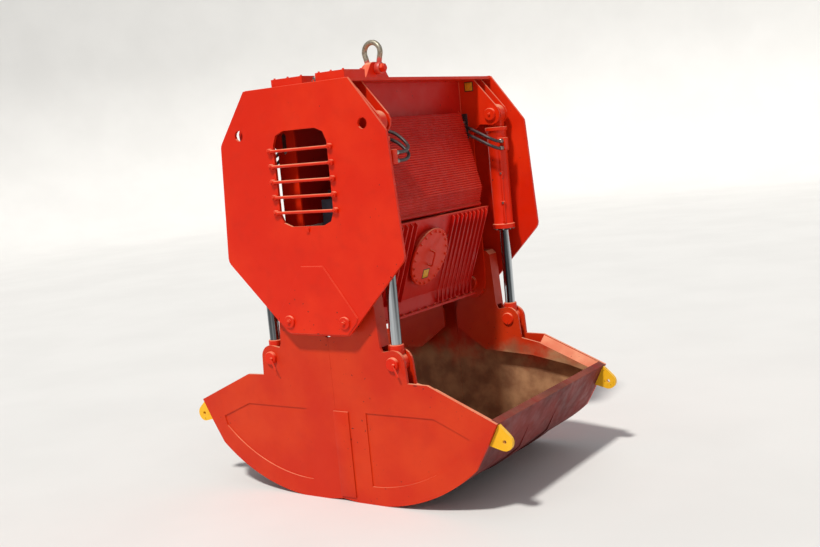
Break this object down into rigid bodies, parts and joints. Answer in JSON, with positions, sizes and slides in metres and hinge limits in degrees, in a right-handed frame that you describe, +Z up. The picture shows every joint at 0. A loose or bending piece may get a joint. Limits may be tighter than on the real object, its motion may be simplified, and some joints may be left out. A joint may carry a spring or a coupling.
{
  "type": "electro-hydraulic clamshell grab",
  "caption": "Bulk-handling clamshell grab: boxed head frame with a power pack, hydraulic cylinders, two hinged shells and a top shackle.",
  "frame": {"origin": "middle of the footprint on the floor under the closed grab", "axes": "+X across the jaws, +Y along the hinge pins, +Z up"},
  "size_m": [2.6714, 1.852, 3.1155],
  "materials": {
    "red_paint": "semi-gloss orange-red machinery paint, dusty",
    "yellow_paint": "semi-gloss yellow paint",
    "chrome": "ground hard chrome",
    "galvanised_steel": "worn galvanised forging",
    "dark_paint": "dark machinery enamel",
    "hose_rubber": "matt hose cover"
  },
  "bodies": {
    "head": {"deck": "red_paint", "near_end_plate": "red_paint", "far_end_plate": "red_paint", "right_near_inner_plate": "red_paint", "right_far_inner_plate": "red_paint", "left_near_inner_plate": "red_paint", "left_far_inner_plate": "red_paint", "right_front_panel": "red_paint", "left_front_panel": "red_paint", "right_ribbed_cover": "red_paint", "left_ribbed_cover": "red_paint", "oil_tank": "red_paint", "manhole_cover": "red_paint", "motor": "dark_paint", "pump": "dark_paint", "valve_block": "dark_paint", "right_near_hinge_pin": "red_paint", "right_far_hinge_pin": "red_paint", "left_near_hinge_pin": "red_paint", "left_far_hinge_pin": "red_paint", "right_near_top_pin": "red_paint", "right_far_top_pin": "red_paint", "left_near_top_pin": "red_paint", "left_far_top_pin": "red_paint", "right_near_hose_pair": "hose_rubber", "right_far_hose_pair": "hose_rubber", "left_near_hose_pair": "hose_rubber", "left_far_hose_pair": "hose_rubber"},
    "shackle": {"shackle_bow": "galvanised_steel", "shackle_pin": "red_paint"},
    "right_shell": {"right_shell_wrapper": "red_paint", "right_near_side_plate": "red_paint", "right_near_arm_cheek": "red_paint", "right_near_corner_lug": "yellow_paint", "right_near_lower_pin": "red_paint", "right_far_side_plate": "red_paint", "right_far_arm_cheek": "red_paint", "right_far_corner_lug": "yellow_paint", "right_far_lower_pin": "red_paint"},
    "left_shell": {"left_shell_wrapper": "red_paint", "left_near_side_plate": "red_paint", "left_near_arm_cheek": "red_paint", "left_near_corner_lug": "yellow_paint", "left_near_lower_pin": "red_paint", "left_far_side_plate": "red_paint", "left_far_arm_cheek": "red_paint", "left_far_corner_lug": "yellow_paint", "left_far_lower_pin": "red_paint"},
    "right_near_barrel_body": {"right_near_barrel": "red_paint"},
    "right_near_rod_body": {"right_near_rod": "chrome"},
    "right_near_eye_body": {"right_near_rod_eye": "red_paint"},
    "right_far_barrel_body": {"right_far_barrel": "red_paint"},
    "right_far_rod_body": {"right_far_rod": "chrome"},
    "right_far_eye_body": {"right_far_rod_eye": "red_paint"},
    "left_near_barrel_body": {"left_near_barrel": "red_paint"},
    "left_near_rod_body": {"left_near_rod": "chrome"},
    "left_near_eye_body": {"left_near_rod_eye": "red_paint"},
    "left_far_barrel_body": {"left_far_barrel": "red_paint"},
    "left_far_rod_body": {"left_far_rod": "chrome"},
    "left_far_eye_body": {"left_far_rod_eye": "red_paint"}
  },
  "joints": [
    {"name": "right_shell_hinge", "type": "hinge", "parent": "head", "child": "right_shell", "pos_m": [0.233, 0, 1.257], "axis": [0, -1, 0], "range_deg": [0, 50]},
    {"name": "left_shell_hinge", "type": "hinge", "parent": "head", "child": "left_shell", "pos_m": [-0.233, 0, 1.257], "axis": [0, 1, 0], "range_deg": [0, 50]},
    {"name": "shackle_swing", "type": "hinge", "parent": "head", "child": "shackle", "pos_m": [0, 0, 2.912], "axis": [1, 0, 0], "range_deg": [-90, 90]},
    {"name": "right_near_barrel_swing", "type": "hinge", "parent": "head", "child": "right_near_barrel_body", "pos_m": [0.52, -0.764, 2.522], "axis": [0, -1, 0], "range_deg": [0, 5.28]},
    {"name": "right_near_rod_slide", "type": "slide", "parent": "right_near_barrel_body", "child": "right_near_rod_body", "axis": [0, 0, 1], "range_m": [0, 0.3161]},
    {"name": "right_near_rod_eye_turn", "type": "hinge", "parent": "right_shell", "child": "right_near_eye_body", "pos_m": [0.52, -0.764, 0.976], "axis": [0, 1, 0], "range_deg": [0, 44.8]},
    {"name": "right_far_barrel_swing", "type": "hinge", "parent": "head", "child": "right_far_barrel_body", "pos_m": [0.52, 0.764, 2.522], "axis": [0, -1, 0], "range_deg": [0, 5.28]},
    {"name": "right_far_rod_slide", "type": "slide", "parent": "right_far_barrel_body", "child": "right_far_rod_body", "axis": [0, 0, 1], "range_m": [0, 0.3161]},
    {"name": "right_far_rod_eye_turn", "type": "hinge", "parent": "right_shell", "child": "right_far_eye_body", "pos_m": [0.52, 0.764, 0.976], "axis": [0, 1, 0], "range_deg": [0, 44.8]},
    {"name": "left_near_barrel_swing", "type": "hinge", "parent": "head", "child": "left_near_barrel_body", "pos_m": [-0.52, -0.764, 2.522], "axis": [0, 1, 0], "range_deg": [0, 5.28]},
    {"name": "left_near_rod_slide", "type": "slide", "parent": "left_near_barrel_body", "child": "left_near_rod_body", "axis": [0, 0, 1], "range_m": [0, 0.3161]},
    {"name": "left_near_rod_eye_turn", "type": "hinge", "parent": "left_shell", "child": "left_near_eye_body", "pos_m": [-0.52, -0.764, 0.976], "axis": [0, -1, 0], "range_deg": [0, 44.8]},
    {"name": "left_far_barrel_swing", "type": "hinge", "parent": "head", "child": "left_far_barrel_body", "pos_m": [-0.52, 0.764, 2.522], "axis": [0, 1, 0], "range_deg": [0, 5.28]},
    {"name": "left_far_rod_slide", "type": "slide", "parent": "left_far_barrel_body", "child": "left_far_rod_body", "axis": [0, 0, 1], "range_m": [0, 0.3161]},
    {"name": "left_far_rod_eye_turn", "type": "hinge", "parent": "left_shell", "child": "left_far_eye_body", "pos_m": [-0.52, 0.764, 0.976], "axis": [0, -1, 0], "range_deg": [0, 44.8]}
  ],
  "couplings": [
    {"joint": "left_shell_hinge", "follows": "right_shell_hinge", "ratio": 1},
    {"joint": "right_near_barrel_swing", "follows": "right_shell_hinge", "ratio": 0.1051},
    {"joint": "right_near_rod_slide", "follows": "right_shell_hinge", "m_per_rad": 0.36103},
    {"joint": "right_near_rod_eye_turn", "follows": "right_shell_hinge", "ratio": 0.8949},
    {"joint": "right_far_barrel_swing", "follows": "right_shell_hinge", "ratio": 0.1051},
    {"joint": "right_far_rod_slide", "follows": "right_shell_hinge", "m_per_rad": 0.36103},
    {"joint": "right_far_rod_eye_turn", "follows": "right_shell_hinge", "ratio": 0.8949},
    {"joint": "left_near_barrel_swing", "follows": "right_shell_hinge", "ratio": 0.1051},
    {"joint": "left_near_rod_slide", "follows": "right_shell_hinge", "m_per_rad": 0.36103},
    {"joint": "left_near_rod_eye_turn", "follows": "right_shell_hinge", "ratio": 0.8949},
    {"joint": "left_far_barrel_swing", "follows": "right_shell_hinge", "ratio": 0.1051},
    {"joint": "left_far_rod_slide", "follows": "right_shell_hinge", "m_per_rad": 0.36103},
    {"joint": "left_far_rod_eye_turn", "follows": "right_shell_hinge", "ratio": 0.8949}
  ]
}
